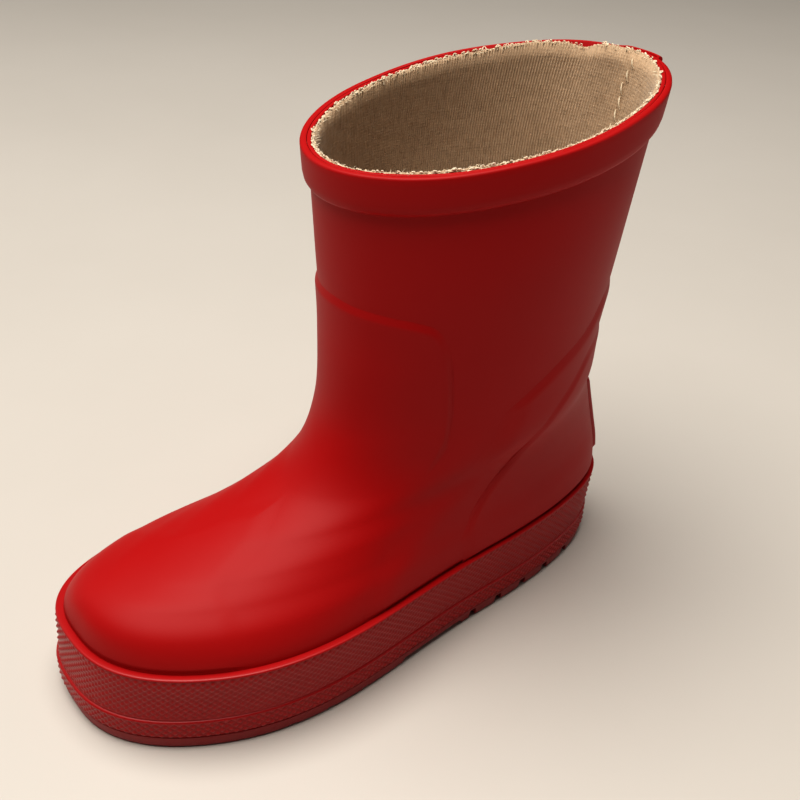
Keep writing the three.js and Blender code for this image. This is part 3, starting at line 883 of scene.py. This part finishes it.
def outsole_piece(material):
    body = bpy.data.objects.new("outsole_body", outsole_body())
    cutter = bpy.data.objects.new("tread_cutters", tread_cutters())
    for o in (body, cutter):
        bpy.context.scene.collection.objects.link(o)
    cut = body.modifiers.new("tread", "BOOLEAN")
    cut.object, cut.operation, cut.solver = cutter, "DIFFERENCE", "EXACT"
    cut.use_self = True
    soft = body.modifiers.new("edges", "BEVEL")
    soft.width, soft.segments, soft.limit_method = 0.35, 2, "ANGLE"
    soft.angle_limit = math.radians(40)
    bpy.context.view_layer.update()
    shape = bpy.data.meshes.new_from_object(body.evaluated_get(bpy.context.evaluated_depsgraph_get()))
    for o in (body, cutter):
        bpy.data.objects.remove(o)
    shape.transform(Matrix.Scale(MM, 4))
    shape.name = "outsole_moulding"
    shape.materials.clear()
    shape.materials.append(material)
    shape.shade_smooth()
    shape.set_sharp_from_angle(angle=math.radians(35))
    piece = bpy.data.objects.new("outsole_moulding", shape)
    bpy.context.scene.collection.objects.link(piece)
    return piece


# ---- collar, back stay and heel patch

COLLAR = 1.75
COLLAR_GAP = 0.12
COLLAR_HEIGHT = 11.7
LAP_INNER = math.pi + 0.08       # where the strip starts, tucked under
LAP_OUTER = math.pi - 0.24       # where it ends, on top of its own start
LAP_CLIMB = 0.10                 # how far round it takes to climb on to its own start
LAP_END = 0.03                   # how far round its end is thinned over
STRIP_UNEVEN = 0.25
STRIP_STEPS = 330


def collar_piece(material):
    """One strip wound round the top, its end laid over its start at the calf."""
    turns = 2 * math.pi + LAP_INNER - LAP_OUTER
    travelled = np.linspace(0, turns, STRIP_STEPS)
    angles = LAP_INNER - travelled
    over = ease((travelled - (2 * math.pi - LAP_CLIMB)) / LAP_CLIMB)
    base = COLLAR_GAP + over * (COLLAR + 0.1)
    start_thin = 0.45 * ease(1 - travelled / LAP_CLIMB)
    end_thin = 0.25 * ease((travelled - turns + LAP_END) / LAP_END)
    thick = COLLAR * (1 - start_thin - end_thin)
    foot = COLLAR_HEIGHT + STRIP_UNEVEN * wavy(angles, seed=23)
    head = 0.15 + STRIP_UNEVEN * wavy(angles, seed=5) * (1 + over) + 0.7 * over
    outline = [(0.0, 0.0), (0.03, 0.55), (0.10, 0.85), (0.22, 0.98), (0.45, 1.0), (0.7, 1.0), (0.90, 1.0),
               (0.965, 0.92), (0.99, 0.72), (1.0, 0.4), (0.995, 0.15), (0.98, 0.0)]
    back_shares = (0.8, 0.55, 0.35, 0.22, 0.12, 0.08, 0.05, 0.04, 0.03, 0.02, 0.01, 0.005)
    back = [(share, 0.0) for share in back_shares]
    sections = []
    for share, out in outline + back:
        drop = mix(foot, -head, share)
        p = layer(LAST - np.maximum(drop, 0) / LEVEL_HEIGHT, angles, -(base + out * thick))
        p[..., 2] += rim_rise(angles) * clamp01(1 - drop / 8) + np.maximum(-drop, 0)
        sections.append(p)
    return bar("collar_strip", np.stack(sections, axis=1), material, sharp=50)


def back_stay_piece(material):
    low, high = level_line(8.9), level_line(LAST - 0.43)
    return ply_piece("back_stay_strip", material, BACK, math.radians(9), low, high, thick=0.6,
                     width=1.6, cols=31, rows=60)


def heel_patch_piece(material):
    low, high = level_line(FOXING_LEVEL + 0.5), level_line(5.4)
    return ply_piece("heel_patch", material, BACK, math.radians(19), low, high, base=PLY + 0.6, thick=1.0,
                     width=0.8, cols=61, rows=60)


# ---- lining

RIB = 0.85
RIB_RELIEF = 0.24
KNIT_STEPS = 4
KNIT_DEPTH = 1.5                 # depth at which the ribs are counted round the top
KNIT_FACE = 0.9                  # how far the knit's face stands in from the rubber's inner side
KNIT_FACE_TOP = 2.0              # its depth at the raw edge, where the rubber is thinner
LOOSE_LEVELS = 1.2               # levels below the top over which it leaves the rubber
GAPE = 1.9                       # how far it gapes beside the back seam
GAPE_PLACE = 0.16                # radians past the back, and its width
SAG = 1.3                        # one dip in its raw edge
SAG_PLACE = 3.55
SAG_WIDTH = 0.10


def lining_depth(level, angle):
    """Depth of the knit's face: against the rubber, but pulled away from it near the top of the back."""
    near_top = clamp01((level - (LAST - LOOSE_LEVELS)) / LOOSE_LEVELS)
    depth = mix(RUBBER + KNIT_FACE, KNIT_FACE_TOP, near_top)
    off = np.mod(angle, 2 * math.pi) - math.pi - GAPE_PLACE
    gape = GAPE * np.exp(-((off / GAPE_PLACE) ** 2)) * near_top**2
    return depth + gape + 0.35 * near_top * clamp01(wavy(angle, seed=41, terms=7, first=3))


def lining_top(angle):
    """How far the knit's raw edge lies above or below the rubber's edge."""
    sag = SAG * np.exp(-(((np.mod(angle, 2 * math.pi) - SAG_PLACE) / SAG_WIDTH) ** 2))
    return -0.2 + 0.4 * wavy(angle, seed=8, terms=8, first=3) - sag


def lining_point(level, angle, depth):
    p = layer(level, angle, depth)
    p[..., 2] += lining_top(angle) * clamp01((level - (LAST - 0.6)) / 0.6)
    return p


def lining_piece(material):
    _, length = even_angles(LAST, KNIT_DEPTH, 4)
    ribs = round(length / RIB)
    angles, _ = even_angles(LAST, KNIT_DEPTH, ribs * KNIT_STEPS)
    phase = 2 * math.pi * np.arange(len(angles)) / KNIT_STEPS
    rib = RIB_RELIEF * np.cos(phase)
    rings = []
    for level in np.linspace(LAST - 0.25, LAST - 0.01, 3):
        rings.append(lining_point(level, angles, lining_depth(level, angles) - 0.75))
    rings.append(lining_point(LAST, angles, lining_depth(LAST, angles) - 0.4))
    for level in np.concatenate([np.linspace(LAST, FOXING_LEVEL, 40), [1.5, 1.0]]):
        rings.append(lining_point(level, angles, lining_depth(level, angles) - rib))
    foot = SKIN_FOOT + RUBBER + GAP + LINING
    for depth in (RUBBER + GAP + LINING + 0.5, 7.0, MARGIN):
        rings.append(at_height(layer(0, angles, depth), foot))
    rings = np.array(rings)
    faces = grid_faces(rings.shape[0], rings.shape[1], wrap_cols=True)
    return make_piece("knit_lining", rings, faces, material, sharp=180)


EDGE_LOOPS = 330
EDGE_ROWS = 3
LOOSE_FIBRES = 1500
TOP_RADIUS = 48.0                # turns a length round the top edge into an angle
FIBRE_RADIUS = 55.0              # the same for the loose fibres, which lean a little less


def raw_edge_piece(material):
    """The knit's cut edge: curled loops with loose fibres standing off them."""
    rng = np.random.default_rng(7)
    paths, radii = [], []
    length = 6
    angles, _ = even_angles(LAST, 2.0, EDGE_LOOPS)
    steps = np.linspace(0, 1, length)
    for k in range(EDGE_LOOPS * EDGE_ROWS):
        a = angles[k % EDGE_LOOPS] + rng.normal(0, 0.006)
        row = k // EDGE_LOOPS
        depth0 = float(lining_depth(LAST, a)) - 0.15 - rng.uniform(0.0, 0.7)
        size = rng.uniform(0.35, 0.62)
        lift = float(lining_top(a)) + rng.uniform(-0.9, 0.35) - 0.25 * row
        arc = steps * math.pi * rng.uniform(1.1, 1.6) + rng.uniform(-0.6, 0.6)
        sideways = a + (np.cos(arc) * size * 0.9) / TOP_RADIUS
        p = layer(LAST, sideways, depth0 + np.sin(arc) * size * rng.uniform(-0.9, 0.6))
        p[:, 2] += lift + np.sin(arc) * size * 0.8
        paths.append(p)
        radii.append(np.full(length, rng.uniform(0.13, 0.24)))
    for _ in range(LOOSE_FIBRES):
        a = rng.uniform(0, 2 * math.pi)
        depth0 = float(lining_depth(LAST, a)) - rng.uniform(-0.2, 1.2)
        lean = rng.normal(0, 0.8, 2)
        reach = rng.uniform(0.4, 1.3)
        sideways = a + steps * lean[0] * reach / FIBRE_RADIUS
        p = layer(LAST, sideways, depth0 + steps * (lean[1] + 0.3) * reach * 0.8)
        p[:, 2] += float(lining_top(a)) - 0.5 + steps * reach * rng.uniform(0.1, 0.9) - steps**2 * 0.25
        paths.append(p)
        radii.append(np.linspace(0.085, 0.035, length))
    return tubes("lining_raw_edge", paths, radii, material, sides=4)


STITCHES = 19
STITCH_WIDTH = 1.9
STITCH_SPACING = 0.125
STITCH_RISE = 0.052              # half a stitch, in levels of height


def stitches_piece(material):
    """Slanting overlock stitches that close the knit down the back."""
    rng = np.random.default_rng(3)
    paths, radii = [], []
    steps = np.linspace(0, 1, 9)
    for k in range(STITCHES):
        level = LAST - 0.20 - k * STITCH_SPACING + rng.normal(0, 0.01)
        middle = math.pi - 0.10 + rng.normal(0, 0.006)
        half = STITCH_WIDTH / 2 / TOP_RADIUS * rng.uniform(0.7, 1.2)
        across = middle + mix(half, -half, steps)
        rise = level + mix(STITCH_RISE, -STITCH_RISE, steps) + rng.normal(0, 0.008)
        bulge = 0.5 * np.sin(steps * math.pi) ** 0.6
        paths.append(layer(rise, across, lining_depth(rise, across) + 0.35 + bulge))
        radii.append(0.21 * np.sin(np.clip(steps * math.pi, 0.35, math.pi - 0.35)) ** 0.5)
    return tubes("seam_stitches", paths, radii, material, sides=8)


# ---- under the foot

LIFT_START, LIFT_LENGTH, HEEL_LIFT = -15.0, 55.0, 5.0


def lift(y):
    return HEEL_LIFT * ease((y - ORIGIN_Y - LIFT_START) / LIFT_LENGTH)


def plate_piece(name, material, node, inset, edge=0.4, rising=True):
    """A rounded plate inside the boot; its height and thickness come from the CAD node."""
    low, high = box_mm(node)
    bottom = low[2]
    rise = HEEL_LIFT if rising else 0.0
    top = high[2] - rise
    t = np.linspace(0.12, math.pi - 0.12, 90)
    across = np.linspace(-1, 1, 33)
    right, left = layer(0, t, inset), layer(0, -t, inset)
    over, under = [], []
    width = np.linalg.norm(right - left, axis=1)
    for s in across:
        p = mix(left, right, (s + 1) / 2)
        up = lift(p[:, 1]) if rising else 0.0
        side = (1 - abs(s)) * width / 2
        end = np.minimum(p[:, 1] - p[0, 1], p[-1, 1] - p[:, 1])
        near = np.minimum(side, end)
        round_off = edge * (1 - np.sqrt(1 - (1 - clamp01(near / edge)) ** 2))
        over.append(at_height(p, top + up - round_off))
        under.append(at_height(p, bottom + up + round_off * 0.8))
    sections = np.concatenate([np.stack(over, 1), np.stack(under, 1)[:, ::-1]], axis=1)
    return bar(name, sections, material, sharp=60)


# ---- scene

FLOOR_HALF = 3.0
FLOOR_DROP = 0.0002


def stage():
    mesh = bpy.data.meshes.new("floor")
    corners = [(x * FLOOR_HALF, y * FLOOR_HALF, 0) for x, y in ((-1, -1), (1, -1), (1, 1), (-1, 1))]
    mesh.from_pydata(corners, [], [(0, 1, 2, 3)])
    mesh.materials.append(floor_material())
    floor = bpy.data.objects.new("floor", mesh)
    floor.location.z = -FLOOR_DROP
    bpy.context.scene.collection.objects.link(floor)


def area_light(name, place, aim, size, power, color):
    light = bpy.data.lights.new(name, "AREA")
    light.shape = "DISK"
    light.size = size
    light.energy = power
    light.color = color
    o = bpy.data.objects.new(name, light)
    o.location = Vector(place)
    o.rotation_mode = "QUATERNION"
    o.rotation_quaternion = (Vector(aim) - Vector(place)).to_track_quat("-Z", "Y")
    bpy.context.scene.collection.objects.link(o)


WARM, DAYLIGHT, ROOM = (1.0, 0.955, 0.90), (1.0, 0.97, 0.93), (1.0, 0.965, 0.92, 1)
ROOM_GLOW = 0.04


def lights():
    aim = (0.0, 0.0, 0.06)
    area_light("overhead", (-0.08, -0.18, 1.20), aim, 1.1, 21.0, WARM)
    area_light("left_window", (-0.85, -0.45, 0.50), aim, 0.8, 0.8, DAYLIGHT)
    area_light("back_window", (0.55, 0.95, 0.35), aim, 0.7, 0.9, DAYLIGHT)
    world = bpy.data.worlds.new("studio")
    world.use_nodes = True
    background = world.node_tree.nodes["Background"].inputs
    background[0].default_value = ROOM
    background[1].default_value = ROOM_GLOW
    bpy.context.scene.world = world


# the camera's values came from a fitting program and were rounded
CAMERA_AZIMUTH, CAMERA_ELEVATION, CAMERA_ROLL = 51.7, 32.5, 1.7
CAMERA_DISTANCE = 0.328
CAMERA_TARGET = Vector((0.0063, 0.0055, 0.0727))
LENS = 52.5
SENSOR_WIDTH = 36.0


def camera():
    a, e, roll = (math.radians(v) for v in (CAMERA_AZIMUTH, CAMERA_ELEVATION, CAMERA_ROLL))
    back = Vector((math.sin(a) * math.cos(e), -math.cos(a) * math.cos(e), math.sin(e)))
    right = (-back).cross(Vector((0, 0, 1))).normalized()
    up = right.cross(-back)
    leaned_right = right * math.cos(roll) + up * math.sin(roll)
    leaned_up = up * math.cos(roll) - right * math.sin(roll)
    turn = Matrix((leaned_right, leaned_up, back)).transposed()
    data = bpy.data.cameras.new("camera")
    data.lens, data.sensor_width = LENS, SENSOR_WIDTH
    data.clip_start, data.clip_end = 0.01, 20.0
    o = bpy.data.objects.new("camera", data)
    o.matrix_world = Matrix.Translation(CAMERA_TARGET + back * CAMERA_DISTANCE) @ turn.to_4x4()
    bpy.context.scene.collection.objects.link(o)
    bpy.context.scene.camera = o


def rubber_pieces():
    skin_red = boot_rubber()
    dress(skin_piece(skin_red), "boot_rubber", "upper_rubber")
    ply_pieces(skin_red)
    dress(back_stay_piece(skin_red), "boot_rubber", "back_stay")
    dress(collar_piece(skin_red), "boot_rubber", "collar_band")
    dress(heel_patch_piece(label_rubber()), "label_rubber", "heel_label")
    band_red = foxing_rubber()
    dress(upper_band_piece(band_red), "foxing_rubber", "foxing_upper_band")
    dress(lower_band_piece(band_red), "foxing_rubber", "foxing_lower_band")
    dress(outsole_piece(outsole_rubber()), "outsole_rubber", "outsole")


def lining_pieces():
    knit = dress(lining_piece(knit_material()), "lining_knit", "lining_sock")
    cream = thread_material("cream_fibre", (0.90, 0.80, 0.60, 1), (0.72, 0.58, 0.38, 1))
    edge = dress(raw_edge_piece(cream), "lining_knit")
    thread = thread_material("seam_thread", (0.84, 0.72, 0.52, 1), (0.60, 0.46, 0.28, 1))
    dress(stitches_piece(thread), "seam_thread", "lining_seam_thread")


def floor_pieces():
    sponge = foam_material("sponge", (0.055, 0.050, 0.045, 1), (0.02, 0.018, 0.016, 1), 900.0)
    foam = foam_material("footbed_foam", (0.66, 0.60, 0.50, 1), (0.42, 0.36, 0.28, 1), 1400.0)
    dress(plate_piece("forefoot_sponge", sponge, "forefoot_filler", 12.6, rising=False), "sponge",
          "forefoot_filler")
    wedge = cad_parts["heel_wedge"]
    wedge.data.materials.clear()
    wedge.data.materials.append(sponge)
    dress(plate_piece("fibre_board", board_material(), "insole_board", 4.1), "insole_board", "insole_board")
    cloth = woven_material("insole_cloth", (0.56, 0.45, 0.29, 1), (0.40, 0.30, 0.18, 1), 1400.0)
    lining_cloth = dress(plate_piece("board_cloth", cloth, "insole_cloth", 4.1, edge=0.25), "insole_cloth",
                         "insole_cloth")
    pad = dress(plate_piece("foam_footbed", foam, "footbed_foam", 5.3, edge=1.2), "foam", "footbed_foam",
                body="footbed")
    cover_cloth = woven_material("cover_cloth", (0.34, 0.23, 0.12, 1), (0.22, 0.14, 0.07, 1), 1000.0)
    cover = dress(plate_piece("footbed_cloth", cover_cloth, "footbed_cover", 5.3, edge=0.35), "cover_cloth",
                  "footbed_cover", body="footbed")


camera()
make_groups()
rubber_pieces()
lining_pieces()
floor_pieces()
stage()
lights()
bpy.context.scene.view_settings.view_transform = "Standard"
bpy.context.scene.view_settings.look = "Medium High Contrast"
